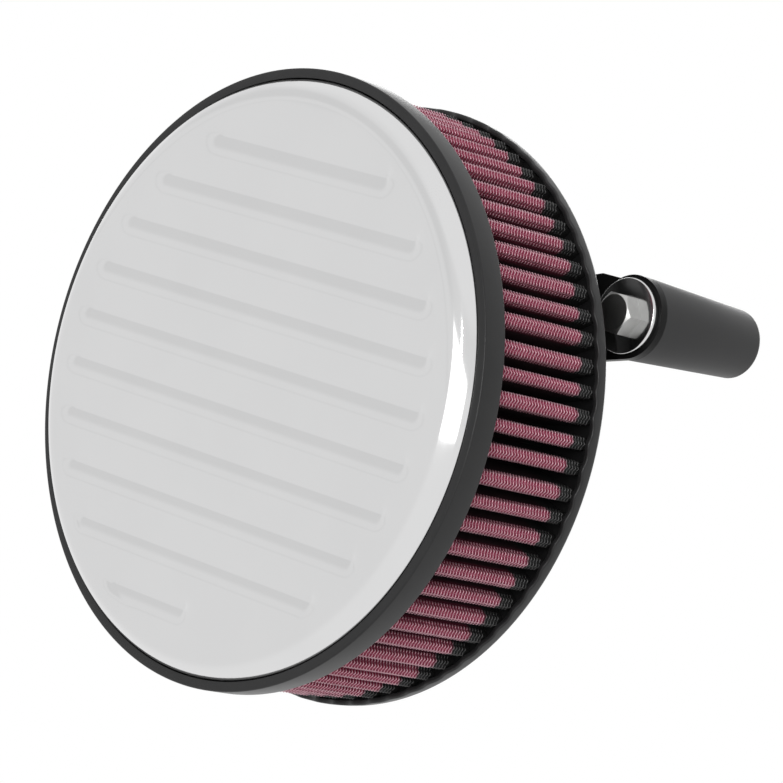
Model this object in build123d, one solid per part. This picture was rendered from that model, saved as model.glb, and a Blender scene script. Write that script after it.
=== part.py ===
from build123d import *

import math
import os

# Round motorcycle air filter. The axis is Y and the fluted cover faces -Y, with +Z up. The origin is the centre
# of the throat on the rear face of its spigot, where the engine's throttle body meets it. Sizes in millimetres.

# Pleated pack
crest_radius = 85.9
pleat_height = 18.9
pleat_count = 74
sheet_thickness = 1.2
crest_fold_radius = 1.7
valley_fold_radius = 1.75
outer_fold_facets = 6
inner_fold_facets = 2
pleat_clearance = 0.3

# Moulded end caps
element_depth = 51.1
front_band_depth = 9.5
front_wall = 2.8
front_web = 2.8
rear_band_depth = 3.8
rear_wall = 1.6
rear_web = 1.8
cap_inner_wall = 4.2
lip_width = 2.3
lip_bevel = 1.3
rebate_depth = 2.7
rear_edge_bevel = 0.8

# Fluted cover
cover_clearance = 0.3
cover_wall = 3.0
shoulder_radius = 8.0
flute_pitch = 14.65
flute_width = 9.8
flute_floor_width = 5.4
flute_depth = 1.3
flute_land = 2.9
short_flute_tip = 5.7
boss_radius = 5.5
boss_room = 0.5
boss_length = 12.0
boss_thread_depth = 10.5

# Backing plate
throat_radius = 25.0
bell_mouth_radius = 4.0
spigot_wall = 5.0
plate_thickness = 4.0
plate_inset = 9.5
rim_height = 2.5
rim_width = 3.5
hub_depth = 8.7
hub_flange = 4.0
hub_boss_wall = 3.2
hub_edge = 0.6

# Throttle body screw holes
throttle_hole_radius = 3.2
throttle_head_radius = 5.8
throttle_head_depth = 2.5
throttle_head_wall = 0.7
throttle_count = 3
throttle_first_angle = 90.0

# Bracket
bracket_thickness = 2.4
bracket_clearance = 0.2
ear_radius = 12.0
ear_rim_clearance = 1.0579
ear_z = 44.2
arm_rise = 9.9
arm_step = 13.8
arm_fall_angle = 18.0
arm_low_angle = 14.5
arm_root_x = 20.0

# Countersunk bracket screws
bracket_screw_radius = 2.5
bracket_screw_head_radius = 4.7
bracket_screw_length = 10.0
bracket_screw_count = 3
bracket_screw_first_angle = 30.0

# Cover screws, their washers and spacer tubes
cover_screw_radius = 3.0
cover_screw_head_radius = 5.2
cover_screw_head_height = 3.3
cover_screw_count = 3
cover_screw_first_angle = 90.0
cover_washer_radius = 6.0
cover_washer_thickness = 1.2
spacer_radius = 5.0

# Standoff posts, their bolts and washers
post_length = 44.5
post_front_radius = 12.0
post_rear_radius = 10.0
post_edge_bevel = 1.2
stud_hole_radius = 3.4
stud_hole_depth = 16.0
bolt_radius = 3.2
bolt_flats = 11.1
bolt_head_height = 5.0
bolt_crown_inset = 0.3
bolt_crown_angle = 30.0
bolt_reach = 14.0
bolt_end_room = 2.0
bolt_washer_radius = 10.85
bolt_washer_thickness = 2.0

# Throat gasket
gasket_thickness = 1.5
gasket_wall = 1.3
gasket_clearance = 0.5

# Shared clearances
hole_clearance = 0.3
thread_clearance = 0.05

# Places along the axis, from the spigot's rear face forwards
spigot_y = 0.0
bracket_front_y = spigot_y - bracket_thickness
plate_rear_y = bracket_front_y - hub_depth
plate_front_y = plate_rear_y - plate_thickness
rim_y = plate_front_y - element_depth
seat_y = rim_y + rebate_depth
cover_front_y = seat_y - shoulder_radius
cover_back_y = cover_front_y + cover_wall
boss_end_y = cover_back_y + boss_length
front_groove_y = seat_y + front_web
rear_groove_y = plate_front_y - rear_web

# Radii that follow from the pleated pack and the throat
valley_radius = crest_radius - pleat_height
groove_outer_radius = crest_radius + pleat_clearance
groove_inner_radius = valley_radius - pleat_clearance
cap_inner_radius = groove_inner_radius - cap_inner_wall
front_cap_radius = groove_outer_radius + front_wall
rear_cap_radius = groove_outer_radius + rear_wall
rebate_radius = front_cap_radius - lip_width
cover_radius = rebate_radius - cover_clearance
field_radius = cover_radius - shoulder_radius
flute_reach = field_radius - flute_land
plate_radius = rear_cap_radius - plate_inset
ear_circle_radius = plate_radius + bolt_flats / math.sqrt(3) + ear_rim_clearance
ear_x = math.sqrt(ear_circle_radius**2 - ear_z**2)
spigot_radius = throat_radius + spigot_wall
cover_screw_circle = cap_inner_radius - boss_room - boss_radius
mouth_radius = throat_radius + bell_mouth_radius
throttle_circle_radius = mouth_radius + throttle_head_wall + throttle_head_radius
gasket_radius = throttle_circle_radius + throttle_hole_radius + gasket_wall
bracket_screw_circle = gasket_radius + gasket_clearance + bracket_screw_head_radius
hub_radius = bracket_screw_circle + bracket_screw_radius + hub_boss_wall + hub_edge


def facing_front(y):
    """Plane across the axis at y, seen from the front: its x is X, its y is Z and it extrudes forwards."""
    return Plane(origin=(0, y, 0), x_dir=(1, 0, 0), z_dir=(0, -1, 0))


def across(sketch, front_y, rear_y):
    """Extrudes a sketch drawn in X and Z from rear_y forwards to front_y."""
    return extrude(facing_front(rear_y) * sketch, amount=rear_y - front_y)


def rod(radius, front_y, rear_y, x=0.0, z=0.0):
    """Round bar along the axis."""
    return across(Pos(x, z) * Circle(radius), front_y, rear_y)


def tube(outer, inner, front_y, rear_y, x=0.0, z=0.0):
    """Round tube along the axis."""
    return across(Pos(x, z) * (Circle(outer) - Circle(inner)), front_y, rear_y)


def turned(*edges):
    """Turns a closed outline, drawn as radius and y, about the axis."""
    return revolve(make_face(Curve() + list(edges)), Axis.Y)


def on_circle(radius, count, first_angle):
    """X and Z of places spread evenly on a circle."""
    angles = [math.radians(first_angle + 360 / count * i) for i in range(count)]
    return [(radius * math.cos(a), radius * math.sin(a)) for a in angles]


throttle_places = on_circle(throttle_circle_radius, throttle_count, throttle_first_angle)
bracket_screw_places = on_circle(bracket_screw_circle, bracket_screw_count, bracket_screw_first_angle)
cover_screw_places = on_circle(cover_screw_circle, cover_screw_count, cover_screw_first_angle)
ear_places = [(ear_x, ear_z), (-ear_x, ear_z)]


def flute_tips():
    """Left tip, right tip and height of each flute. The lowest is cut short on its right."""
    rows = int((flute_reach - flute_width / 2) / flute_pitch + 0.5)
    tips = []
    for row in range(2 * rows):
        z = (row + 0.5 - rows) * flute_pitch
        tip = math.sqrt(flute_reach**2 - z**2)
        tips.append((-tip, short_flute_tip if row == 0 else tip, z))
    return tips


def flute(left, right, z):
    """Shallow recess with round ends and sloping walls."""
    mouth = facing_front(cover_front_y) * Pos((left + right) / 2, z) * SlotOverall(right - left, flute_width)
    slope = math.degrees(math.atan((flute_width - flute_floor_width) / 2 / flute_depth))
    return extrude(mouth, amount=-flute_depth, taper=slope)


def make_cover():
    """Round pan with a rolled shoulder, flutes across its face and three bosses behind."""
    inner_radius = cover_radius - cover_wall
    pan = turned(
        Line((0, cover_front_y), (field_radius, cover_front_y)),
        RadiusArc((field_radius, cover_front_y), (cover_radius, seat_y), -shoulder_radius),
        Line((cover_radius, seat_y), (inner_radius, seat_y)),
        Line((inner_radius, seat_y), (field_radius, cover_back_y)),
        Line((field_radius, cover_back_y), (0, cover_back_y)),
        Line((0, cover_back_y), (0, cover_front_y)),
    )
    for left, right, z in flute_tips():
        pan -= flute(left, right, z)
    for x, z in cover_screw_places:
        pan += rod(boss_radius, cover_back_y, boss_end_y, x, z)
    for x, z in cover_screw_places:
        pan -= rod(cover_screw_radius + thread_clearance, boss_end_y - boss_thread_depth, boss_end_y, x, z)
    return pan


def make_front_cap():
    """Ring with a groove for the pleats behind and a bevelled lip round the cover in front."""
    band_end_y = rim_y + front_band_depth
    return turned(
        Polyline(
            (front_cap_radius, rim_y + lip_bevel),
            (front_cap_radius, band_end_y),
            (groove_outer_radius, band_end_y),
            (groove_outer_radius, front_groove_y),
            (groove_inner_radius, front_groove_y),
            (groove_inner_radius, band_end_y),
            (cap_inner_radius, band_end_y),
            (cap_inner_radius, seat_y),
            (rebate_radius, seat_y),
            (rebate_radius, rim_y),
            (front_cap_radius - lip_bevel, rim_y),
            close=True,
        )
    )


def make_rear_cap():
    """Ring with a groove for the pleats in front and a flat face that seats on the backing plate."""
    band_start_y = plate_front_y - rear_band_depth
    return turned(
        Polyline(
            (rear_cap_radius - rear_edge_bevel, plate_front_y),
            (cap_inner_radius, plate_front_y),
            (cap_inner_radius, band_start_y),
            (groove_inner_radius, band_start_y),
            (groove_inner_radius, rear_groove_y),
            (groove_outer_radius, rear_groove_y),
            (groove_outer_radius, band_start_y),
            (rear_cap_radius, band_start_y),
            (rear_cap_radius, plate_front_y - rear_edge_bevel),
            close=True,
        )
    )


def fold_line(crest_round, valley_round, crest_facets, valley_facets):
    """Closed zigzag of rounded crests and valleys, joined by straight flanks that are tangent to both.

    A point of a fold lies at a turn from outwards on its circle. The crest turns from one flank to the other
    through outwards, and the valley through inwards.
    """
    crest_centre = crest_radius - crest_fold_radius
    valley_centre = valley_radius + valley_fold_radius
    half_pitch = math.pi / pleat_count
    reach = valley_centre * math.sin(half_pitch)
    drop = crest_centre - valley_centre * math.cos(half_pitch)
    lean = math.asin((crest_round + valley_round) / math.hypot(reach, drop)) - math.atan2(reach, drop)
    crest_side = math.pi / 2 + lean
    valley_side = math.pi / 2 - lean + half_pitch
    crest_turns = [crest_side * (2 * i / crest_facets - 1) for i in range(crest_facets + 1)]
    valley_turns = [math.pi + valley_side * (1 - 2 * i / valley_facets) for i in range(valley_facets + 1)]
    points = []
    for pleat in range(pleat_count):
        crest = 2 * half_pitch * pleat
        for turn in crest_turns:
            points.append(fold_point(crest_centre, crest, crest_round, turn))
        for turn in valley_turns:
            points.append(fold_point(valley_centre, crest + half_pitch, valley_round, turn))
    return make_face(Polyline(*points, close=True))


def fold_point(centre, angle, radius, turn):
    """X and Z of a point on a fold whose own centre lies at a radius and angle from the axis."""
    x = centre * math.cos(angle) + radius * math.cos(angle + turn)
    z = centre * math.sin(angle) + radius * math.sin(angle + turn)
    return (x, z)


def make_pleats():
    """One folded sheet, closed on itself, from the front cap's groove to the rear cap's."""
    outside = fold_line(
        crest_fold_radius, valley_fold_radius - sheet_thickness, outer_fold_facets, inner_fold_facets
    )
    inside = fold_line(
        crest_fold_radius - sheet_thickness, valley_fold_radius, inner_fold_facets, outer_fold_facets
    )
    return across(outside - inside, front_groove_y, rear_groove_y)


def make_backing_plate():
    """Cast disc with a stiff rim, a bell-mouthed throat and a hub with bosses behind it."""
    flange_y = bracket_front_y - hub_flange
    rim_y_rear = plate_rear_y + rim_height
    bell_end = (throat_radius, plate_front_y + bell_mouth_radius)
    outline = Polyline(
        bell_end,
        (throat_radius, spigot_y),
        (spigot_radius, spigot_y),
        (spigot_radius, bracket_front_y),
        (hub_radius, bracket_front_y),
        (hub_radius, flange_y),
        (spigot_radius, flange_y),
        (spigot_radius, plate_rear_y),
        (plate_radius - rim_width, plate_rear_y),
        (plate_radius - rim_width, rim_y_rear),
        (plate_radius, rim_y_rear),
        (plate_radius, plate_front_y),
        (mouth_radius, plate_front_y),
    )
    bell = RadiusArc((mouth_radius, plate_front_y), bell_end, bell_mouth_radius)
    plate = turned(outline, bell)
    for x, z in throttle_places:
        plate += rod(throttle_hole_radius + hub_boss_wall, plate_rear_y, flange_y, x, z)
    for x, z in bracket_screw_places:
        plate += rod(bracket_screw_radius + hub_boss_wall, plate_rear_y, flange_y, x, z)
    for x, z in throttle_places:
        plate -= rod(throttle_hole_radius, plate_front_y, bracket_front_y, x, z)
        plate -= rod(throttle_head_radius, plate_front_y, plate_front_y + throttle_head_depth, x, z)
    for x, z in bracket_screw_places:
        thread_end_y = spigot_y - bracket_screw_length - hole_clearance
        plate -= rod(bracket_screw_radius + thread_clearance, thread_end_y, bracket_front_y, x, z)
    for x, z in cover_screw_places:
        plate -= rod(cover_screw_radius + hole_clearance, plate_front_y, plate_rear_y, x, z)
    return plate


def arm(side):
    """Arm from the bracket's middle to the round ear on one side.

    Its top edge is level beside the ear and then falls towards the middle. Its low edge is a tangent of the ear.
    """
    fall = math.tan(math.radians(arm_fall_angle))
    low = math.radians(arm_low_angle)
    top_z = ear_z + arm_rise
    step_x = ear_x - arm_step
    low_x = ear_x + ear_radius * math.sin(low)
    low_z = ear_z - ear_radius * math.cos(low)
    corners = [
        (ear_x, top_z),
        (step_x, top_z),
        (arm_root_x, top_z - (step_x - arm_root_x) * fall),
        (arm_root_x, low_z - (low_x - arm_root_x) * math.tan(low)),
        (low_x, low_z),
    ]
    strap = make_face(Polyline(*[(side * x, z) for x, z in corners], close=True))
    return strap + Pos(side * ear_x, ear_z) * Circle(ear_radius)


def make_bracket():
    """Flat steel plate round the spigot with an ear for each standoff post."""
    outline = Circle(hub_radius) + arm(1) + arm(-1)
    outline -= Circle(spigot_radius + bracket_clearance)
    for x, z in throttle_places:
        outline -= Pos(x, z) * Circle(throttle_hole_radius)
    for x, z in ear_places:
        outline -= Pos(x, z) * Circle(bolt_radius + hole_clearance)
    bracket = across(outline, bracket_front_y, spigot_y)
    for x, z in bracket_screw_places:
        bracket -= bracket_screw(x, z, thread_clearance)
    return bracket


def bracket_screw(x, z, growth=0.0):
    """Countersunk screw, its head flush with the bracket's rear face."""
    head_radius = bracket_screw_head_radius + growth
    shank_radius = bracket_screw_radius + growth
    head_height = head_radius - shank_radius
    screw = turned(
        Polyline(
            (0, spigot_y),
            (head_radius, spigot_y),
            (shank_radius, spigot_y - head_height),
            (shank_radius, spigot_y - bracket_screw_length),
            (0, spigot_y - bracket_screw_length),
            close=True,
        )
    )
    return Pos(x, 0, z) * screw


def cover_screw(x, z):
    """Screw from behind the backing plate into a boss of the cover, with a low tapered head."""
    washer_y = plate_rear_y + cover_washer_thickness
    end_y = washer_y + cover_screw_head_height
    tip_y = boss_end_y - boss_thread_depth + hole_clearance
    screw = turned(
        Polyline(
            (cover_screw_head_radius, washer_y),
            (cover_screw_radius, end_y),
            (0, end_y),
            (0, tip_y),
            (cover_screw_radius, tip_y),
            (cover_screw_radius, washer_y),
            close=True,
        )
    )
    return Pos(x, 0, z) * screw


def mounting_bolt(x, z):
    """Hex bolt through the washer and the ear into the post, with a rounded-off head."""
    washer_front_y = bracket_front_y - bolt_washer_thickness
    head_front_y = washer_front_y - bolt_head_height
    corner_radius = bolt_flats / math.sqrt(3)
    crown_radius = bolt_flats / 2 - bolt_crown_inset
    crown_drop = (corner_radius - crown_radius) * math.tan(math.radians(bolt_crown_angle))
    head = across(RegularPolygon(corner_radius, 6), head_front_y, washer_front_y)
    crown = turned(
        Polyline(
            (0, head_front_y),
            (crown_radius, head_front_y),
            (corner_radius, head_front_y + crown_drop),
            (corner_radius, washer_front_y),
            (0, washer_front_y),
            close=True,
        )
    )
    bolt = (head & crown) + rod(bolt_radius, washer_front_y, spigot_y + bolt_reach)
    return Pos(x, 0, z) * bolt


def standoff(x, z):
    """Tapered round post with a threaded hole at each end."""
    end_y = spigot_y + post_length
    post = turned(
        Polyline(
            (0, spigot_y),
            (post_front_radius, spigot_y),
            (post_rear_radius, end_y - post_edge_bevel),
            (post_rear_radius - post_edge_bevel, end_y),
            (0, end_y),
            close=True,
        )
    )
    post -= rod(bolt_radius + thread_clearance, spigot_y, spigot_y + bolt_reach + bolt_end_room)
    post -= rod(stud_hole_radius, end_y - stud_hole_depth, end_y)
    return Pos(x, 0, z) * post


def make_gasket():
    """Flat ring behind the spigot and the bracket, with the throttle body's screw holes."""
    outline = Circle(gasket_radius) - Circle(throat_radius + gasket_clearance)
    for x, z in throttle_places:
        outline -= Pos(x, z) * Circle(throttle_hole_radius)
    return across(outline, spigot_y, spigot_y + gasket_thickness)


def spacer(x, z):
    """Tube round a cover screw, from the boss to the backing plate."""
    return tube(spacer_radius, cover_screw_radius + hole_clearance, boss_end_y, plate_front_y, x, z)


def cover_washer(x, z):
    """Flat washer under a cover screw's head."""
    bore = cover_screw_radius + hole_clearance
    return tube(cover_washer_radius, bore, plate_rear_y, plate_rear_y + cover_washer_thickness, x, z)


def bolt_washer(x, z):
    """Polished washer under a mounting bolt's head."""
    bore = bolt_radius + hole_clearance
    return tube(bolt_washer_radius, bore, bracket_front_y - bolt_washer_thickness, bracket_front_y, x, z)


def group(make, places):
    """Separate like solids in one node."""
    return Compound([make(x, z) for x, z in places])


nodes = {
    "cover": make_cover(),
    "front_end_cap": make_front_cap(),
    "pleated_media": make_pleats(),
    "rear_end_cap": make_rear_cap(),
    "backing_plate": make_backing_plate(),
    "mounting_bracket": make_bracket(),
    "throat_gasket": make_gasket(),
    "bracket_screws": group(bracket_screw, bracket_screw_places),
    "cover_screws": group(cover_screw, cover_screw_places),
    "cover_screw_washers": group(cover_washer, cover_screw_places),
    "cover_spacers": group(spacer, cover_screw_places),
    "standoff_right": standoff(*ear_places[0]),
    "standoff_left": standoff(*ear_places[1]),
    "mounting_bolts": group(mounting_bolt, ear_places),
    "mounting_washers": group(bolt_washer, ear_places),
}

os.makedirs("parts", exist_ok=True)
for name, shape in nodes.items():
    export_step(shape, os.path.join("parts", name + ".step"))
    print(name, "volume", round(shape.volume))
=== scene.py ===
# %% [markdown]
# # A round air filter with a fluted cover
#
# The object is an intake filter for a motorcycle engine. A folded pack of red oiled cotton stands between two
# black moulded rings, a polished cover with pressed flutes closes its front, and posts behind it bolt to the
# engine. The construction comes from a fixed frame, in metres, and this lesson gives each piece its look.
# A piece whose form is right keeps its mesh and gets a finish. A piece that needs softer edges, folds or
# wires is made again here as a surface worked out with numpy, in the same place.

import math

import bpy
import numpy as np
from mathutils import Matrix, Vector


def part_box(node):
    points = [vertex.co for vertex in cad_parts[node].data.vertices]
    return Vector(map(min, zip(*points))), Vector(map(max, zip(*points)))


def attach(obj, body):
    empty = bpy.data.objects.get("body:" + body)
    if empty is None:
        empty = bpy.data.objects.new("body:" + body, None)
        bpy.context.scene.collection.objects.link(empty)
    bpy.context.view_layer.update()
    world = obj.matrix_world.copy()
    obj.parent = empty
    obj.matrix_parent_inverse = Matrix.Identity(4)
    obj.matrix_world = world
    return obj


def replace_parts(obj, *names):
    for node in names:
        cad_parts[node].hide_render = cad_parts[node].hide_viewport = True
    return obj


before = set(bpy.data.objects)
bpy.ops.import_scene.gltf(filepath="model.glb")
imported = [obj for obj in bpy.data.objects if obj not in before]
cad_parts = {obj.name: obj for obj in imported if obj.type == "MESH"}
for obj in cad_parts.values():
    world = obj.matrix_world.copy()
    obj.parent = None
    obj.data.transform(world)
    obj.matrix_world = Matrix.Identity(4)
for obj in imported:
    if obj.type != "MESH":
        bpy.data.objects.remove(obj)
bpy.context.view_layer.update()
mm = 0.001
scene = bpy.context.scene
print("frame loaded with", len(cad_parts), "nodes")

# %% [markdown]
# ## Places that the frame gives
#
# The axis of the filter is Y, and the cover faces -Y. Everything that follows is placed from the boxes of the
# frame's pieces, so that nothing has to be fitted by eye.

# %% Read the main places
cover_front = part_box("cover")[0].y
cover_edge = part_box("cover")[1].x
boss_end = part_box("cover")[1].y
rim_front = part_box("front_end_cap")[0].y
front_band_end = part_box("front_end_cap")[1].y
front_cap_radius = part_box("front_end_cap")[1].x
rear_band_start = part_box("rear_end_cap")[0].y
rear_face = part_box("rear_end_cap")[1].y
rear_cap_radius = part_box("rear_end_cap")[1].x
crest_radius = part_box("pleated_media")[1].x
pack_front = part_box("pleated_media")[0].y
pack_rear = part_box("pleated_media")[1].y
print("radius of the front ring in mm:", round(front_cap_radius / mm, 2))
print("radius of the crests in mm:", round(crest_radius / mm, 2))

# %% [markdown]
# ## From arrays to meshes
#
# Each surface is a table of points. Neighbours in the table make four-cornered faces, and a table that closes
# on itself makes a tube or a ring. Looping over vertices would be slow and hard to read, so whole arrays go
# into the mesh at once. The sign of the enclosed volume tells which way the faces point, and a shape that
# comes out inside out is turned round.

# %% Tables of points become faces
def quads_of(table, close_rows=False, close_columns=False):
    """Four-cornered faces between neighbours in a table of point numbers."""
    if close_rows:
        table = np.vstack([table, table[:1]])
    if close_columns:
        table = np.hstack([table, table[:, :1]])
    corners = [table[:-1, :-1], table[1:, :-1], table[1:, 1:], table[:-1, 1:]]
    return np.stack(corners, axis=-1).reshape(-1, 4)


def put_mesh(name, points, quads, triangles=(), sharp_angle=35.0):
    """A piece from arrays of points, quads and triangles, smooth but for edges sharper than an angle."""
    points = np.asarray(points, float).reshape(-1, 3)
    quads = np.asarray(quads, int).reshape(-1, 4)
    triangles = np.asarray(triangles, int).reshape(-1, 3)
    halves = np.vstack([quads[:, [0, 1, 2]], quads[:, [0, 2, 3]], triangles])
    first, second, third = (points[halves[:, i]] for i in range(3))
    volume = np.einsum("ij,ij->i", first, np.cross(second, third)).sum() / 6
    if volume < 0:
        quads, triangles = quads[:, ::-1], triangles[:, ::-1]
    mesh = bpy.data.meshes.new(name)
    mesh.from_pydata(points.tolist(), [], quads.tolist() + triangles.tolist())
    mesh.update()
    mesh.shade_smooth()
    mesh.set_sharp_from_angle(angle=math.radians(sharp_angle))
    piece = bpy.data.objects.new(name, mesh)
    scene.collection.objects.link(piece)
    print(name, "has", len(halves), "triangles and holds", round(abs(volume) * 1e6, 2), "cubic cm")
    return piece


def joined(parts):
    """Several sets of points and faces as one, with the point numbers of each set moved on."""
    points = np.vstack([part[0].reshape(-1, 3) for part in parts])
    starts = np.cumsum([0] + [part[0].reshape(-1, 3).shape[0] for part in parts[:-1]])
    quads = np.vstack([part[1] + start for part, start in zip(parts, starts)])
    triangles = np.vstack([part[2].reshape(-1, 3) + start for part, start in zip(parts, starts)])
    return points, quads, triangles


# %% [markdown]
# ## Turned shapes with soft corners
#
# Rings, washers and posts are turned shapes: an outline of radius against y, carried round the axis. No real
# edge is perfectly sharp, and a small rounding is what catches the light, so each corner of an outline is
# replaced by an arc that is tangent to both its sides.

# %% Round the corners of an outline
def unit(vectors):
    """Vectors of length one."""
    return vectors / np.linalg.norm(vectors, axis=-1, keepdims=True)


def rounded(corners, closed=True, steps=6):
    """Outline through corners of (radius, y, rounding).

    The arc's centre lies on the corner's middle line, rounding / sin(half the corner) away. The points of the
    arc turn evenly from the end of one side to the start of the next. An open outline keeps its two ends.
    """
    corners = np.asarray(corners, float)
    here = corners if closed else corners[1:-1]
    before = np.roll(corners, 1, axis=0) if closed else corners[:-2]
    after = np.roll(corners, -1, axis=0) if closed else corners[2:]
    backward = unit(before[:, :2] - here[:, :2])
    forward = unit(after[:, :2] - here[:, :2])
    half = np.arccos(np.sum(backward * forward, axis=1, keepdims=True)) / 2
    rounding = here[:, 2:]
    reach = rounding / np.tan(half)
    centre = here[:, :2] + unit(backward + forward) * rounding / np.sin(half)
    start = (here[:, :2] + backward * reach - centre)[:, None, :]
    end = (here[:, :2] + forward * reach - centre)[:, None, :]
    turn = (np.pi - 2 * half)[:, None, :]
    share = np.linspace(0, 1, steps)[None, :, None]
    arc = (np.sin((1 - share) * turn) * start + np.sin(share * turn) * end) / np.sin(turn)
    line = (centre[:, None, :] + arc).reshape(-1, 2)
    return line if closed else np.vstack([corners[:1, :2], line, corners[-1:, :2]])


# %% Turn an outline round an axis
def turned(outline, turns, x=0.0, z=0.0, poles=False):
    """Points and faces of an outline carried round an axis along Y through x and z.

    A point goes to (x + radius cos a, y, z + radius sin a). With poles, the outline's two ends lie on the
    axis, and each is one point with a fan of triangles round it.
    """
    rings = outline[1:-1] if poles else outline
    angle = np.linspace(0, 2 * np.pi, turns, endpoint=False)[:, None]
    ring_x = x + rings[:, 0] * np.cos(angle)
    ring_z = z + rings[:, 0] * np.sin(angle)
    points = np.stack([ring_x, np.broadcast_to(rings[:, 1], ring_x.shape), ring_z], axis=-1)
    table = np.arange(ring_x.size).reshape(ring_x.shape)
    quads = quads_of(table, close_rows=True, close_columns=not poles)
    triangles = np.zeros((0, 3), int)
    if poles:
        ends = np.array([[x, outline[0, 1], z], [x, outline[-1, 1], z]])
        points = np.vstack([points.reshape(-1, 3), ends])
        first, last = table[:, 0], table[:, -1]
        first_pole, last_pole = np.full(turns, table.size), np.full(turns, table.size + 1)
        first_fan = np.stack([first_pole, np.roll(first, -1), first], axis=-1)
        last_fan = np.stack([last, np.roll(last, -1), last_pole], axis=-1)
        triangles = np.vstack([first_fan, last_fan])
    return points.reshape(-1, 3), quads, triangles


# %% [markdown]
# ## Shader maths as plain sums
#
# A finish is a small tree of nodes. Wiring each one by hand hides the idea, so one class stands for a socket
# and lets it be added and multiplied like a number. Every other node comes from its one method.

# %% A socket that can be used in sums
class Signal:
    """One output socket. Sums of signals and numbers add Math nodes to its tree."""

    def __init__(self, socket):
        self.socket = socket

    @staticmethod
    def node(tree, kind, settings=None, inputs=None, output=0):
        """A node of any kind, with its settings, then its inputs by name or number as values or signals."""
        made = tree.nodes.new(kind)
        for key, value in (settings or {}).items():
            setattr(made, key, value)
        for key, value in (inputs or {}).items():
            if isinstance(value, Signal):
                tree.links.new(value.socket, made.inputs[key])
            else:
                made.inputs[key].default_value = value
        return Signal(made.outputs[output])

    def math(self, operation, first, second=0.0):
        """A Math node with this operation."""
        tree = self.socket.id_data
        return Signal.node(tree, "ShaderNodeMath", {"operation": operation}, {0: first, 1: second})

    def __add__(self, other):
        return self.math("ADD", self, other)

    def __sub__(self, other):
        return self.math("SUBTRACT", self, other)

    def __rsub__(self, other):
        return self.math("SUBTRACT", other, self)

    def __mul__(self, other):
        return self.math("MULTIPLY", self, other)

    __radd__ = __add__
    __rmul__ = __mul__


# %% Start a finish and read a place
def new_finish(name, **constants):
    """A material with constants set on its shader's own sockets. Underscores in a name stand for spaces."""
    material = bpy.data.materials.new(name)
    material.use_nodes = True
    shader = material.node_tree.nodes["Principled BSDF"]
    for key, value in constants.items():
        shader.inputs[key.replace("_", " ")].default_value = value
    return material, material.node_tree, shader


def feed(shader, name, signal):
    """Links a signal to one input of a shader."""
    shader.id_data.links.new(signal.socket, shader.inputs[name])


def place(tree):
    """Object coordinates, which are the frame's own metres."""
    return Signal.node(tree, "ShaderNodeTexCoord", output="Object")


def axis_of(tree, vector, name):
    """One coordinate of a vector."""
    return Signal.node(tree, "ShaderNodeSeparateXYZ", {}, {0: vector}, name)


# %% Noise, steps, mixtures and relief
def noise(tree, vector, size, detail=3.0):
    """Soft noise from 0 to 1 with grains of about a size in metres."""
    inputs = {"Vector": vector, "Scale": 1 / size, "Detail": detail}
    return Signal.node(tree, "ShaderNodeTexNoise", {}, inputs, "Fac")


def ramp(tree, signal, low, high):
    """Smooth step of a signal, from 0 at low to 1 at high."""
    settings = {"interpolation_type": "SMOOTHSTEP", "clamp": True}
    inputs = {"Value": signal, "From Min": low, "From Max": high, "To Min": 0.0, "To Max": 1.0}
    return Signal.node(tree, "ShaderNodeMapRange", settings, inputs)


def mixed(tree, share, first, second):
    """Colour between two colours, given as red, green and blue or as signals."""
    colours = [c if isinstance(c, Signal) else (*c, 1.0) for c in (first, second)]
    inputs = {0: share, 6: colours[0], 7: colours[1]}
    return Signal.node(tree, "ShaderNodeMix", {"data_type": "RGBA"}, inputs, 2)


def bump(tree, shader, height, strength, depth):
    """Relief of a depth in metres from a signal between 0 and 1."""
    inputs = {"Strength": strength, "Distance": depth, "Height": height}
    feed(shader, "Normal", Signal.node(tree, "ShaderNodeBump", {}, inputs, "Normal"))


# %% Dress a new piece
def wear(piece, material):
    """Gives a new piece its finish and its place on the one fixed body."""
    piece.data.materials.append(material)
    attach(piece, "root")
    print(piece.name, "wears", material.name)
    return piece


print("shader helpers are ready")

# %% [markdown]
# ## The polished cover
#
# On the real part a disc is pressed with long shallow flutes, its edge is rolled over a round shoulder, and
# the whole is polished and plated. A mirror shows every bump of a mesh, so cutting flutes with booleans would
# leave ragged reflections. Here the face is one height map: each flute is a line, and the depth depends on
# the distance from it, first level and then falling off as a parabola. Rows of points run along the flutes,
# close together at the floor's edge. The last points of the rows are the first ring of the shoulder, so there
# is no seam.

# %% Flutes as a height map
shoulder = 8.0 * mm
cover_wall = 3.0 * mm
field_radius = cover_edge - shoulder
seat = cover_front + shoulder
cover_back = cover_front + cover_wall
flute_pitch = 14.65 * mm
flute_rows = 10
flute_width = 9.8 * mm
flute_depth = 1.3 * mm
flute_land = 2.9 * mm
short_flute_tip = 5.7 * mm
flute_drop = 1.5 * mm
floor_half = 0.9 * mm
mouth_half = flute_pitch / 2
crease = 0.25 * mm
flute_reach = field_radius - flute_land


def flute_lines():
    """Left end, right end and height of each flute's middle line. The lowest is cut short on its right."""
    heights = (np.arange(flute_rows) - (flute_rows - 1) / 2) * flute_pitch - flute_drop
    tips = np.sqrt(flute_reach**2 - heights**2)
    right = np.where(heights == heights.min(), short_flute_tip, tips)
    return zip(flute_width / 2 - tips, right - flute_width / 2, heights)


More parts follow.
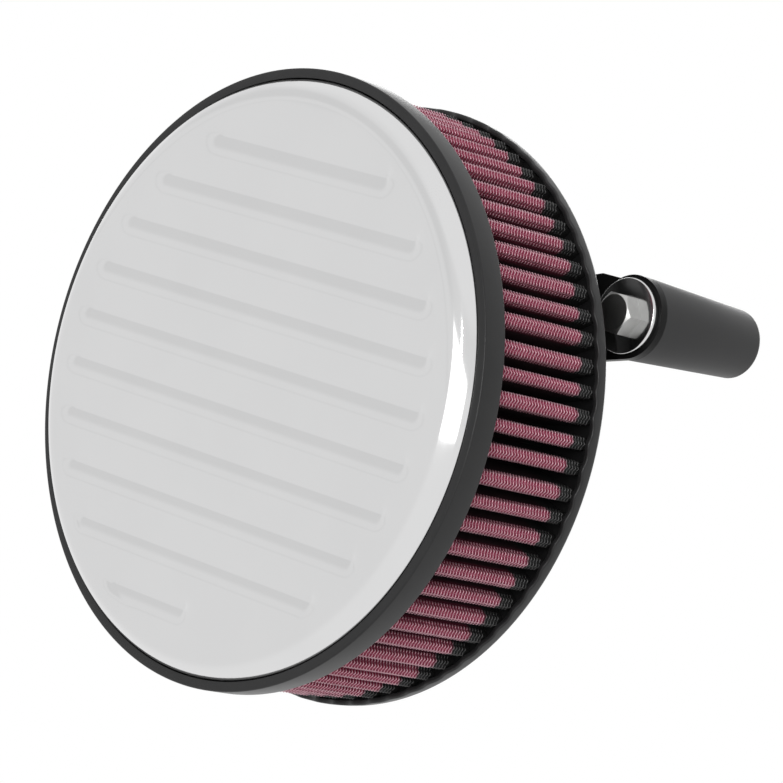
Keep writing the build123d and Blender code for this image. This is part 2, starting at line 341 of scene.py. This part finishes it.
def pressed_depth(x, z):
    """Depth of the flutes at x and z, from the distance to the nearest middle line.

    A wall is a parabola: it leaves the land level and is steepest where it meets the flat floor. Near the
    shoulder the depth fades to nothing.
    """
    depth = np.zeros_like(x)
    for left, right, height in flute_lines():
        beyond = np.maximum(np.abs(x - (left + right) / 2) - (right - left) / 2, 0)
        away = np.hypot(beyond, z - height)
        share = np.clip((mouth_half - away) / (mouth_half - floor_half), 0, 1)
        depth = np.maximum(depth, flute_depth * share**2)
    return depth * np.clip((field_radius - np.hypot(x, z)) / flute_land, 0, 1)


# %% Rows of the face
def stretches(*parts):
    """Numbers in even steps over stretches of (start, end, count) that follow each other."""
    runs = [np.linspace(start, end, count, endpoint=False) for start, end, count in parts]
    return np.concatenate(runs + [[parts[-1][1]]])


outer_row = 0.99 * field_radius
floor_edge = (floor_half - crease, floor_half + crease)
half_cell = stretches((0, floor_edge[0], 1), (*floor_edge, 4), (floor_edge[1], mouth_half, 8))
cell = np.concatenate([-half_cell[:0:-1], half_cell[:-1]])
flute_heights = np.array([height for _, _, height in flute_lines()])
lower_rows = np.linspace(-outer_row, flute_heights.min() - mouth_half, 6)[:-1]
upper_rows = np.linspace(flute_heights.max() + mouth_half, outer_row, 9)
row_z = np.concatenate([lower_rows, (flute_heights[:, None] + cell).ravel(), upper_rows])
print("the face has", len(row_z), "rows over", len(flute_heights), "flutes")
column_share = stretches((-1, -0.7, 50), (-0.7, 0, 17), (0, 0.25, 30), (0.25, 0.7, 12), (0.7, 1, 50))
face_x = np.sqrt(field_radius**2 - row_z**2)[:, None] * column_share
face_z = np.repeat(row_z[:, None], len(column_share), axis=1)
face_z[[0, -1]] = np.sqrt(field_radius**2 - face_x[[0, -1]] ** 2) * np.array([[-1], [1]])
face_y = cover_front + pressed_depth(face_x, face_z)
face_points = np.stack([face_x, face_y, face_z], axis=-1)
face_table = np.arange(face_x.size).reshape(face_x.shape)
face_quads = quads_of(face_table)[:, ::-1]
edge_loop = np.concatenate(
    [face_table[:, -1], face_table[-1, -2::-1], face_table[-2::-1, 0], face_table[0, 1:-1]]
)

# %% Rings of the shoulder and the plain back
shoulder_turn = np.linspace(0, np.pi / 2, 21)[1:]
ring_radius = field_radius + shoulder * np.sin(shoulder_turn)
ring_y = seat - shoulder * np.cos(shoulder_turn)
ring_radius = np.concatenate([ring_radius, [cover_edge - cover_wall, field_radius]])
ring_y = np.concatenate([ring_y, [seat, cover_back]])
edge_angle = np.arctan2(face_z.ravel()[edge_loop], face_x.ravel()[edge_loop])
ring_x = ring_radius[:, None] * np.cos(edge_angle)
ring_z = ring_radius[:, None] * np.sin(edge_angle)
ring_points = np.stack([ring_x, np.broadcast_to(ring_y[:, None], ring_x.shape), ring_z], axis=-1)
ring_table = face_table.size + np.arange(ring_x.size).reshape(ring_x.shape)
ring_quads = quads_of(np.vstack([edge_loop, ring_table]), close_columns=True)
back_centre = face_table.size + ring_x.size
last_ring = ring_table[-1]
back_fan = np.stack([last_ring, np.full(len(last_ring), back_centre), np.roll(last_ring, -1)], axis=-1)
pan_points = np.vstack([face_points.reshape(-1, 3), ring_points.reshape(-1, 3), [[0, cover_back, 0]]])
pan = (pan_points, np.vstack([face_quads, ring_quads]), back_fan)
print("the pan has", len(pan_points), "points")

# %% Bosses behind the cover
boss_radius = 5.5 * mm
boss_bore = 3.05 * mm
boss_root = cover_back - 0.4 * mm
edge_rounding = 0.2 * mm
cover_screw_angles = np.radians([90.0, 210.0, 330.0])
boss_circle = 56.5 * mm
boss_outline = rounded(
    [
        (boss_bore, boss_end, edge_rounding),
        (boss_radius, boss_end, edge_rounding),
        (boss_radius, boss_root, edge_rounding),
        (boss_bore, boss_root, edge_rounding),
    ]
)
bosses = [
    turned(boss_outline, 40, boss_circle * np.cos(a), boss_circle * np.sin(a)) for a in cover_screw_angles
]
cover_skin = put_mesh("fluted_cover", *joined([pan] + bosses), sharp_angle=40.0)
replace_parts(cover_skin, "cover")

# %% [markdown]
# ## The finish of the cover
#
# Polished plate is nearly a mirror. Its colour is the share of light that it throws back, a bit over two
# thirds, and a faint unevenness of its gloss keeps it from looking like a perfect computer mirror.

# %% Polished plate
polish, tree, shader = new_finish("polished_plate", Metallic=1.0)
spot = place(tree)
cloud = noise(tree, spot, 22 * mm)
grain = noise(tree, spot, 0.9 * mm)
feed(shader, "Base Color", mixed(tree, cloud, (0.69, 0.69, 0.693), (0.72, 0.72, 0.722)))
feed(shader, "Roughness", 0.06 + 0.05 * cloud + 0.02 * grain)
wear(cover_skin, polish)

# %% [markdown]
# ## The moulded rings
#
# The end caps are poured from soft black polyurethane, which sets round the ends of the folds. The front one
# has a raised lip that closes in on the cover's shoulder. Its lip and its band lie a little further forward
# here than in the frame, as the photo shows them. At the rear one the liquid crept up each fold before it
# set, so its front edge runs in small waves. A turned outline gives the ring, and the waves are one cosine
# for each fold.

# %% Front ring
pleat_count = 74
pleat_height = 18.9 * mm
pleat_clearance = 0.3 * mm
cap_inner_radius = 62.5 * mm
rear_web = 1.8 * mm
front_web = 2.8 * mm
groove_outer = crest_radius + pleat_clearance
groove_inner = crest_radius - pleat_height - pleat_clearance
rebate_radius = cover_edge + 0.3 * mm
lip_rise = 0.3 * mm
lip_gap = 0.25 * mm
lip_rounding = 0.5 * mm
lip_inner_rounding = 0.2 * mm
band_trim = 1.8 * mm
lip_front = rim_front - lip_rise
lip_inner = field_radius + math.sqrt(shoulder**2 - (seat - lip_front) ** 2) + lip_gap
band_end = front_band_end - band_trim
front_outline = rounded(
    [
        (front_cap_radius, lip_front, lip_rounding),
        (front_cap_radius, band_end, lip_rounding),
        (groove_outer, band_end, edge_rounding),
        (groove_outer, seat + front_web, edge_rounding),
        (groove_inner, seat + front_web, edge_rounding),
        (groove_inner, band_end, edge_rounding),
        (cap_inner_radius, band_end, edge_rounding),
        (cap_inner_radius, seat, edge_rounding),
        (rebate_radius, seat, edge_rounding),
        (lip_inner, lip_front, lip_inner_rounding),
    ]
)
front_ring = put_mesh("front_ring", *turned(front_outline, 360))
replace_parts(front_ring, "front_end_cap")

# %% Rear ring with its creeping edge
creep_height = 0.7 * mm
rear_lean = 0.25 * mm
rear_rounding = 1.3 * mm
rear_front_rounding = 0.6 * mm
band_depth = 1.0 * mm
rear_outline = rounded(
    [
        (rear_cap_radius - rear_lean, rear_face, rear_rounding),
        (cap_inner_radius, rear_face, edge_rounding),
        (cap_inner_radius, rear_band_start, edge_rounding),
        (groove_inner, rear_band_start, edge_rounding),
        (groove_inner, rear_face - rear_web, edge_rounding),
        (groove_outer, rear_face - rear_web, edge_rounding),
        (groove_outer, rear_band_start, edge_rounding),
        (rear_cap_radius, rear_band_start, rear_front_rounding),
    ]
)
rear_points, rear_quads, _ = turned(rear_outline, 8 * pleat_count)
rear_angle = np.arctan2(rear_points[:, 2], rear_points[:, 0])
rear_radius = np.hypot(rear_points[:, 2], rear_points[:, 0])
on_band = (rear_radius > crest_radius) & (rear_points[:, 1] < rear_band_start + band_depth)
creep = creep_height * (0.5 + 0.5 * np.cos(pleat_count * rear_angle)) ** 1.5
rear_points[:, 1] -= np.where(on_band, creep, 0)
rear_ring = put_mesh("rear_ring", rear_points, rear_quads)
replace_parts(rear_ring, "rear_end_cap")

# %% Moulded polyurethane
moulded, tree, shader = new_finish("moulded_black", Specular_IOR_Level=0.3)
spot = place(tree)
cloud = noise(tree, spot, 9 * mm)
skin = noise(tree, spot, 0.35 * mm, 2.0)
feed(shader, "Base Color", mixed(tree, cloud, (0.010, 0.010, 0.0105), (0.017, 0.017, 0.0172)))
feed(shader, "Roughness", 0.27 + 0.10 * cloud + 0.06 * skin)
bump(tree, shader, skin, 0.25, 0.03 * mm)
for ring in (front_ring, rear_ring):
    wear(ring, moulded)

# %% [markdown]
# ## The folded pack
#
# The cotton is folded to and fro into a closed star of rounded crests and valleys. Its section is worked out
# once: a crest arc, a straight flank that is tangent to both arcs, and a valley arc, repeated round the axis.
# The section is then carried along Y. Hand-laid folds are never quite even, so a slow sum of sines shifts and
# lifts them by a few tenths of a millimetre, and the wires that follow are shifted by the same sums.

# %% Section of the folds
sheet = 1.2 * mm
crest_fold = 1.7 * mm
valley_fold = 1.75 * mm
crest_centre = crest_radius - crest_fold
valley_centre = crest_radius - pleat_height + valley_fold
half_pitch = np.pi / pleat_count
crest_angle = 2 * half_pitch * np.arange(pleat_count)


def flank_lean(crest_round, valley_round):
    """How far a flank turns past straight inwards, so that it is tangent to a crest arc and a valley arc."""
    across = valley_centre * math.sin(half_pitch)
    drop = crest_centre - valley_centre * math.cos(half_pitch)
    return math.asin((crest_round + valley_round) / math.hypot(across, drop)) - math.atan2(across, drop)


def fold_section(crest_round, valley_round):
    """X and Z of one whole closed section: crest arc, flank, valley arc and flank, once for each fold."""
    lean = flank_lean(crest_round, valley_round)
    crest_turn = np.linspace(-1, 1, 13) * (np.pi / 2 + lean)
    valley_turn = np.pi + np.linspace(1, -1, 7) * (np.pi / 2 - lean + half_pitch)
    crest = crest_centre + crest_round * np.exp(1j * crest_turn)
    valley = (valley_centre + valley_round * np.exp(1j * valley_turn)) * np.exp(1j * half_pitch)
    down = np.linspace(crest[-1], valley[0], 5)[1:-1]
    next_crest = crest[0] * np.exp(2j * half_pitch)
    up = np.linspace(valley[-1], next_crest, 5)[1:-1]
    fold = np.concatenate([crest, down, valley, up])
    return (np.exp(1j * crest_angle)[:, None] * fold).ravel()


def settle(points):
    """Moves points as a hand-laid pack lies: slow sums of sines shift the folds, lift them and bow them."""
    x, y, z = np.moveaxis(points, -1, 0)
    angle, radius = np.arctan2(z, x), np.hypot(x, z)
    bow = np.sin(np.pi * (y - pack_front) / (pack_rear - pack_front))
    angle = angle + 0.0020 * np.sin(31 * angle + 1.3) + 0.0014 * np.sin(17 * angle + 0.4)
    angle = angle + 0.0022 * bow * np.sin(27 * angle + 2.1)
    radius = radius - 0.22 * mm * (1 + np.sin(23 * angle + 0.8))
    return np.stack([radius * np.cos(angle), y, radius * np.sin(angle)], axis=-1)


# %% Cotton pack from its two sections
outside = fold_section(crest_fold, valley_fold - sheet)
inside = fold_section(crest_fold - sheet, valley_fold)
length_steps = np.linspace(pack_front, pack_rear, 9)
section_rows = np.vstack([np.repeat(outside[None], 9, axis=0), np.repeat(inside[None], 9, axis=0)])
row_y = np.concatenate([length_steps, length_steps[::-1]])[:, None]
row_y = np.broadcast_to(row_y, section_rows.shape)
pack_points = np.stack([section_rows.real, row_y, section_rows.imag], axis=-1)
pack_table = np.arange(section_rows.size).reshape(section_rows.shape)
pack_quads = quads_of(pack_table, close_rows=True, close_columns=True)
cotton_pack = put_mesh("cotton_pack", settle(pack_points), pack_quads, sharp_angle=60.0)
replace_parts(cotton_pack, "pleated_media")

# %% [markdown]
# ## The wire screen
#
# A woven screen of thin coated wire is folded together with the cotton and shows on every crest as rows of
# short light dashes. A bump map would vanish at the outline, so the wires are real: hoops that bend over each
# crest and dip into the cotton under every long wire, and long wires that run straight along the fold. Each
# is a three-sided tube, which at this size looks round and stays light.

# %% Sizes of the wires
wire_radius = 0.19 * mm
wire_pitch = 1.17 * mm
row_pitch = 1.7 * mm
weave_height = 0.27 * mm
hoop_flank = 1.3 * mm
hoop_margin = 0.4 * mm
hoop_sink = 0.5 * mm
sink_start = 0.85
sink_length = 0.15
line_overlap = 0.5 * mm
slant = 0.1
arc_turn = np.pi / 2 + flank_lean(crest_fold, valley_fold - sheet)
print("the arc of a crest turns to", round(math.degrees(arc_turn), 1), "degrees on each side")


# %% Paths over a crest
def ease(share):
    """Step from 0 to 1 that starts and ends level and unbent: 10 s^3 - 15 s^4 + 6 s^5."""
    share = np.clip(share, 0, 1)
    return share**3 * (10 - 15 * share + 6 * share**2)


def over_crest(along, lift):
    """Radial and sideways place, and outward direction, at a distance along a crest's section from its top.

    On the arc the turn is distance / radius. Past the arc the path goes straight down the flank.
    """
    turn = np.clip(along / crest_fold, -arc_turn, arc_turn)
    rest = along - turn * crest_fold
    outward = np.stack([np.cos(turn), np.sin(turn)], axis=-1)
    forward = np.stack([-np.sin(turn), np.cos(turn)], axis=-1)
    spot = outward * (crest_fold + lift)[..., None] + forward * rest[..., None]
    return spot + np.array([crest_centre, 0]), outward


def round_the_axis(local, y):
    """Points of every fold: local radial and sideways places are turned to each crest's angle."""
    turn = np.exp(1j * crest_angle).reshape(-1, *[1] * (local.ndim - 1))
    flat = (local[..., 0] + 1j * local[..., 1])[None] * turn
    return np.stack([flat.real, np.broadcast_to(y[None], flat.shape), flat.imag], axis=-1)


# %% Faces of the tubes
def tube_faces(count, steps, sides):
    """Quads and end triangles of many three-sided tubes whose points lie in the order tube, step, side."""
    table = np.arange(count * steps * sides).reshape(count, steps, sides)
    closed = np.concatenate([table, table[:, :, :1]], axis=2)
    corners = [closed[:, :-1, :-1], closed[:, 1:, :-1], closed[:, 1:, 1:], closed[:, :-1, 1:]]
    ends = np.vstack([table[:, 0, :], table[:, -1, ::-1]])
    return np.stack(corners, axis=-1).reshape(-1, 4), ends


side_turn = np.radians([90.0, 210.0, 330.0])

# %% Hoops over the crests
hoop_y = np.arange(band_end + hoop_margin, rear_band_start - hoop_margin / 2, wire_pitch)
hoop_reach = arc_turn * crest_fold + hoop_flank
hoop_steps = np.linspace(-hoop_reach, hoop_reach, 23)
lift = wire_radius * 0.6 + weave_height * np.cos(2 * np.pi * hoop_steps / row_pitch)
lift = lift - hoop_sink * ease((np.abs(hoop_steps) - sink_start * hoop_reach) / (sink_length * hoop_reach))
centre_line, outward = over_crest(hoop_steps, lift)
ring_out = wire_radius * np.sin(side_turn)
ring_along = wire_radius * np.cos(side_turn)
hoop_ring = centre_line[:, None, :] + outward[:, None, :] * ring_out[:, None]
hoop_side_y = hoop_y[:, None, None] + slant * hoop_steps[None, :, None] + ring_along
hoop_local = np.broadcast_to(hoop_ring, (*hoop_side_y.shape, 2))
hoop_points = settle(round_the_axis(hoop_local, hoop_side_y))
hoop_count = pleat_count // 2 * len(hoop_y)
hoop_quads, hoop_ends = tube_faces(hoop_count, len(hoop_steps), 3)
upper_hoops = put_mesh("screen_hoops_upper", hoop_points[: pleat_count // 2], hoop_quads, hoop_ends, 180.0)
lower_hoops = put_mesh("screen_hoops_lower", hoop_points[pleat_count // 2 :], hoop_quads, hoop_ends, 180.0)

# %% Long wires along the crests
line_count = 4
line_place = (np.arange(line_count) - (line_count - 1) / 2) * row_pitch
line_y = np.linspace(band_end - line_overlap, rear_band_start + line_overlap, 7)
line_lift = np.full(line_count, -0.85 * wire_radius)
line_centre, line_out = over_crest(line_place, line_lift)
line_side = np.stack([-line_out[:, 1], line_out[:, 0]], axis=-1)
line_ring = (
    line_centre[:, None, :]
    + line_out[:, None, :] * ring_out[:, None]
    + line_side[:, None, :] * ring_along[:, None]
)
line_local = np.repeat(line_ring[:, None], len(line_y), axis=1)
line_points = settle(round_the_axis(line_local, np.broadcast_to(line_y[None, :, None], line_local.shape[:3])))
line_quads, line_ends = tube_faces(pleat_count * line_count, len(line_y), 3)
long_wires = put_mesh("screen_long_wires", line_points, line_quads, line_ends, 180.0)

# %% [markdown]
# ## Oiled cotton and coated wire
#
# The cotton is soaked with red oil. Down in the folds its colour is painted darker, as painted shade where
# the folds shade each other. Where the caps were poured the liquid crept into the cloth and turned it black
# for some millimetres, with a ragged edge. Both finishes read the place along Y for that, so the stain runs
# through cotton and wire alike.

# %% How far the black has crept
creep_rear = 5.3 * mm
creep_front = 1.0 * mm
creep_edge = 0.8 * mm


def stained(tree, spot):
    """Share of black at a place: full near both caps, none between, with a ragged edge."""
    y = axis_of(tree, spot, "Y")
    ragged = y + 2.2 * mm * (noise(tree, spot, 2.5 * mm, 2.0) - 0.5)
    rear_line = rear_band_start - creep_rear
    front_line = band_end + creep_front
    rear = ramp(tree, ragged, rear_line - creep_edge, rear_line + creep_edge)
    front = 1 - ramp(tree, ragged, front_line - creep_edge, front_line + creep_edge)
    return rear.math("MAXIMUM", rear, front)


def from_axis(tree, spot):
    """Distance from the filter's axis."""
    x = axis_of(tree, spot, "X")
    z = axis_of(tree, spot, "Z")
    return x.math("SQRT", x * x + z * z)


# %% Red cotton
cotton, tree, shader = new_finish("red_cotton", Specular_IOR_Level=0.25)
spot = place(tree)
fibre = noise(tree, spot, 0.45 * mm, 4.0)
patch = noise(tree, spot, 7 * mm)
# Painted shade: from 0.7 mm under the crests down to 5 mm under them, the cotton's colour is painted to near
# black, as the shade that falls into the folds.
painted_fold_shade = ramp(tree, from_axis(tree, spot), crest_radius - 5 * mm, crest_radius - 0.7 * mm)
red = mixed(tree, fibre * 0.6 + patch * 0.4, (0.12, 0.010, 0.028), (0.32, 0.045, 0.09))
red = mixed(tree, painted_fold_shade, (0.012, 0.002, 0.004), red)
feed(shader, "Base Color", mixed(tree, stained(tree, spot), red, (0.008, 0.008, 0.008)))
feed(shader, "Roughness", 0.75 + 0.2 * fibre)
bump(tree, shader, fibre, 0.6, 0.15 * mm)
wear(cotton_pack, cotton)

# %% Coated wire
wire, tree, shader = new_finish("coated_wire", Specular_IOR_Level=0.5)
spot = place(tree)
shade = noise(tree, spot, 1.6 * mm)
clean = mixed(tree, shade, (0.46, 0.18, 0.24), (0.85, 0.60, 0.66))
feed(shader, "Base Color", mixed(tree, stained(tree, spot), clean, (0.10, 0.10, 0.10)))
feed(shader, "Roughness", 0.3 + 0.15 * shade)
feed(shader, "Metallic", 0.6 + 0.2 * shade)
for screen in (upper_hoops, lower_hoops, long_wires):
    wear(screen, wire)

# %% [markdown]
# ## Posts and washers
#
# Each post is turned from bar, slightly tapered, with a rounded rear edge and a threaded hole in each end.
# The washers are stamped and plated, so their edges are soft. All are turned outlines at the bolts' places.

# %% Standoff posts
post_rear_radius = 10.0 * mm
bolt_bore = 3.25 * mm
bolt_bore_depth = 16.0 * mm
stud_bore = 3.4 * mm
stud_bore_depth = 16.0 * mm


def post_centre(node):
    """X and Z of a post's axis."""
    low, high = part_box(node)
    return (low.x + high.x) / 2, (low.z + high.z) / 2


def make_post(name, node):
    """Turned post: bore, front face, tapered side, rounded rear edge and rear bore."""
    low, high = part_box(node)
    front_radius = (high.x - low.x) / 2
    outline = rounded(
        [
            (0, low.y + bolt_bore_depth, 0),
            (bolt_bore, low.y + bolt_bore_depth, edge_rounding),
            (bolt_bore, low.y, edge_rounding),
            (front_radius, low.y, 0.4 * mm),
            (post_rear_radius, high.y, 1.8 * mm),
            (stud_bore, high.y, 0.5 * mm),
            (stud_bore, high.y - stud_bore_depth, edge_rounding),
            (0, high.y - stud_bore_depth, 0),
        ],
        closed=False,
    )
    piece = put_mesh(name, *turned(outline, 96, *post_centre(node), poles=True))
    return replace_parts(piece, node)


posts = [make_post("post_right", "standoff_right"), make_post("post_left", "standoff_left")]

# %% Mounting washers
washer_low, washer_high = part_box("mounting_washers")
washer_radius = (washer_high.z - washer_low.z) / 2
washer_bore = 3.5 * mm
washer_rounding = 0.35 * mm
washer_outline = rounded(
    [
        (washer_bore, washer_low.y, washer_rounding),
        (washer_radius, washer_low.y, washer_rounding),
        (washer_radius, washer_high.y, washer_rounding),
        (washer_bore, washer_high.y, washer_rounding),
    ]
)
post_nodes = ("standoff_right", "standoff_left")
washer_parts = [turned(washer_outline, 96, *post_centre(node)) for node in post_nodes]
washers = put_mesh("plated_washers", *joined(washer_parts))
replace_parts(washers, "mounting_washers")

# %% [markdown]
# ## Paints and plain metals
#
# The posts are matte dark grey, the bracket and the backing plate are powder coated black, the bolts are
# bright steel and their washers are plated. Each finish is a dark or light base with an uneven gloss and a
# fine relief, in grains of its own size.

# %% One function for paints, one for metals
def paint(name, dark, light, shine, gloss, grain_size, relief):
    """Paint between two greys, with a strength of reflection, a roughness that wanders and a grain."""
    material, tree, shader = new_finish(name, Specular_IOR_Level=shine)
    spot = place(tree)
    cloud = noise(tree, spot, 12 * mm)
    grain = noise(tree, spot, grain_size, 2.0)
    feed(shader, "Base Color", mixed(tree, cloud * 0.5 + grain * 0.5, dark, light))
    feed(shader, "Roughness", gloss + 0.1 * cloud)
    bump(tree, shader, grain, 0.5, relief)
    return material


def metal(name, dark, light, gloss, grain_size):
    """Bare or plated metal between two greys, with a roughness that wanders about a value."""
    material, tree, shader = new_finish(name, Metallic=1.0)
    spot = place(tree)
    cloud = noise(tree, spot, 4 * mm)
    grain = noise(tree, spot, grain_size, 4.0)
    feed(shader, "Base Color", mixed(tree, cloud, dark, light))
    feed(shader, "Roughness", gloss + 0.12 * grain)
    bump(tree, shader, grain, 0.15, 0.02 * mm)
    return material


post_greys = (0.018, 0.018, 0.0185), (0.028, 0.028, 0.0285)
grey_post = paint("matte_grey", *post_greys, 0.3, 0.42, 0.3 * mm, 0.02 * mm)
black_coat = paint("black_coat", (0.003, 0.003, 0.003), (0.006, 0.006, 0.006), 0.12, 0.3, 0.8 * mm, 0.05 * mm)
casting_coat = paint("casting_coat", (0.01, 0.01, 0.01), (0.022, 0.022, 0.022), 0.4, 0.5, 0.6 * mm, 0.12 * mm)
gasket_fibre = paint("gasket_fibre", (0.05, 0.047, 0.043), (0.12, 0.112, 0.1), 0.3, 0.8, 0.5 * mm, 0.1 * mm)
plated = metal("plated_washer", (0.62, 0.62, 0.62), (0.72, 0.72, 0.72), 0.08, 0.5 * mm)
bright_steel = metal("bright_steel", (0.42, 0.42, 0.41), (0.6, 0.6, 0.59), 0.25, 0.4 * mm)
zinc = metal("zinc_plate", (0.45, 0.46, 0.48), (0.62, 0.62, 0.6), 0.3, 0.4 * mm)
black_oxide = metal("black_oxide", (0.05, 0.05, 0.052), (0.09, 0.09, 0.092), 0.35, 0.4 * mm)

# %% Give each remaining piece its finish
for post in posts:
    wear(post, grey_post)
wear(washers, plated)
finish_of_node = {
    "backing_plate": casting_coat,
    "mounting_bracket": black_coat,
    "throat_gasket": gasket_fibre,
    "bracket_screws": black_oxide,
    "cover_screws": black_oxide,
    "cover_screw_washers": zinc,
    "cover_spacers": zinc,
    "mounting_bolts": bright_steel,
}
for node, material in finish_of_node.items():
    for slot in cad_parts[node].material_slots:
        slot.material = material
print("finishes given to", len(finish_of_node), "frame pieces")

# %% [markdown]
# ## Studio
#
# The picture has a plain white ground. The world is white for the camera and nearly so for reflections, and a
# little dimmer as light on the surfaces. In reflections it is slightly grey overhead, along a thin line above
# the horizon and towards one side, so that the flutes and the shoulder show as soft bands in the polish. Soft
# boxes light the crests, and a narrow strip draws the line on the rolled edges. The floor lies well below,
# because the part is held by its throat and doesn't stand. The polish doesn't mirror the floor.

# %% Kinds of rays
def kinds_of_rays(tree):
    """Two signals: 1 for rays from the camera, and 1 for those and for rays off a polish or through glass."""
    names = ("Is Camera Ray", "Is Glossy Ray", "Is Transmission Ray")
    rays, glossy, through = (Signal.node(tree, "ShaderNodeLightPath", output=name) for name in names)
    return rays, rays.math("MAXIMUM", rays, rays.math("MAXIMUM", glossy, through))


# %% White ground
scene.view_settings.view_transform = "Standard"
world = bpy.data.worlds.new("studio")
scene.world = world
world.use_nodes = True
tree = world.node_tree
background = tree.nodes["Background"]
rays, seen = kinds_of_rays(tree)
direction = Signal.node(tree, "ShaderNodeTexCoord", output="Generated")
sky = axis_of(tree, direction, "Z")
overhead = ramp(tree, sky, 0.18, 0.30) * (1 - ramp(tree, sky, 0.46, 0.62))
low_line = ramp(tree, sky, 0.035, 0.05) * (1 - ramp(tree, sky, 0.06, 0.08))
overhead_grey = 0.085
line_grey = 0.06
side_grey = 0.06
ambient = 0.5
front_left = {0: direction, 1: (-0.71, -0.70, 0.0)}
toward = Signal.node(tree, "ShaderNodeVectorMath", {"operation": "DOT_PRODUCT"}, front_left, 1)
shaded = overhead_grey * overhead + line_grey * low_line + side_grey * ramp(tree, toward, 0.55, 0.85)
grey = 1 - shaded * (1 - rays)
feed(background, "Strength", ambient + (1 - ambient) * seen)
feed(background, "Color", Signal.node(tree, "ShaderNodeCombineColor", {}, {0: grey, 1: grey, 2: grey}))
print("the world shines with", ambient, "of its brightness on surfaces")

# %% Floor
floor_z = -0.30
floor_reach = 3.0
floor_steps = 5
floor_grid = np.linspace(-floor_reach, floor_reach, floor_steps)
floor_x, floor_y = np.meshgrid(floor_grid, floor_grid)
floor_points = np.stack([floor_x, floor_y, np.full_like(floor_x, floor_z)], axis=-1)
floor_table = np.arange(floor_steps**2).reshape(floor_steps, floor_steps)
floor = put_mesh("studio_floor", floor_points, quads_of(floor_table))
floor.visible_glossy = False
ground, tree, shader = new_finish("studio_ground", Base_Color=(0.85, 0.85, 0.85, 1), Roughness=0.9)
_, seen = kinds_of_rays(tree)
white = Signal.node(tree, "ShaderNodeEmission", {}, {"Color": (1, 1, 1, 1), "Strength": 1.0})
surface = Signal(shader.outputs[0])
shown = Signal.node(tree, "ShaderNodeMixShader", {}, {0: seen, 1: surface, 2: white})
tree.links.new(shown.socket, tree.nodes["Material Output"].inputs["Surface"])
floor.data.materials.append(ground)


# %% Soft boxes
def look_at(place_from, place_to, roll=0.0):
    """Rotation of a lamp or camera at one place that looks at another, turned about its own line of sight."""
    back = unit(np.subtract(place_from, place_to))
    level = unit(np.cross([0, 0, 1], back))
    upright = np.cross(back, level)
    right = level * math.cos(roll) + upright * math.sin(roll)
    up = np.cross(back, right)
    return np.stack([right, up, back], axis=1)


def stand(thing, spot, turn):
    """Puts a lamp or camera at a place with a rotation."""
    matrix = np.eye(4)
    matrix[:3, :3] = turn
    matrix[:3, 3] = spot
    thing.matrix_world = Matrix(matrix.tolist())
    scene.collection.objects.link(thing)


def soft_box(name, spot, aim, width, height, radiance, mirrored=True):
    """Rectangular lamp with a brightness of its face. Its power is radiance times pi times its area."""
    lamp = bpy.data.lights.new(name, "AREA")
    lamp.shape = "RECTANGLE"
    lamp.size = width
    lamp.size_y = height
    lamp.energy = radiance * math.pi * width * height
    thing = bpy.data.objects.new(name, lamp)
    thing.visible_glossy = mirrored
    stand(thing, spot, look_at(spot, aim))
    print(name, "gives", round(lamp.energy, 2), "watts")


filter_centre = (0.0, (rim_front + rear_face) / 2, 0.0)
soft_box("overhead_box", (0.3, -0.5, 1.1), filter_centre, 1.0, 1.0, 2.2, mirrored=False)
soft_box("right_box", (0.9, -1.4, 0.22), filter_centre, 2.2, 0.6, 1.45)
soft_box("edge_strip", (0.85, -1.45, 0.38), filter_centre, 0.06, 0.7, 40.0)
soft_box("back_box", (-0.75, 1.1, 0.3), filter_centre, 1.6, 0.55, 3.0)

# %% [markdown]
# ## Camera
#
# The picture was taken with a long lens, from the front right and slightly above, with the camera turned
# about its line of sight. Three angles, one distance and a point on the line of sight give the place.

# %% Camera
azimuth = math.radians(45.34)
elevation = math.radians(2.32)
camera_roll = math.radians(15.17)
camera_distance = 1.1274
camera_aim = np.array([0.0268, -0.0386, 0.0063])
focal_length = 183.9
sight = np.array(
    [
        math.sin(azimuth) * math.cos(elevation),
        -math.cos(azimuth) * math.cos(elevation),
        math.sin(elevation),
    ]
)
camera_place = camera_aim + camera_distance * sight
camera_data = bpy.data.cameras.new("camera")
camera_data.lens = focal_length
camera_data.sensor_width = 36.0
camera = bpy.data.objects.new("camera", camera_data)
stand(camera, camera_place, look_at(camera_place, camera_aim, camera_roll))
scene.camera = camera
print("camera stands at", np.round(camera_place, 4).tolist())
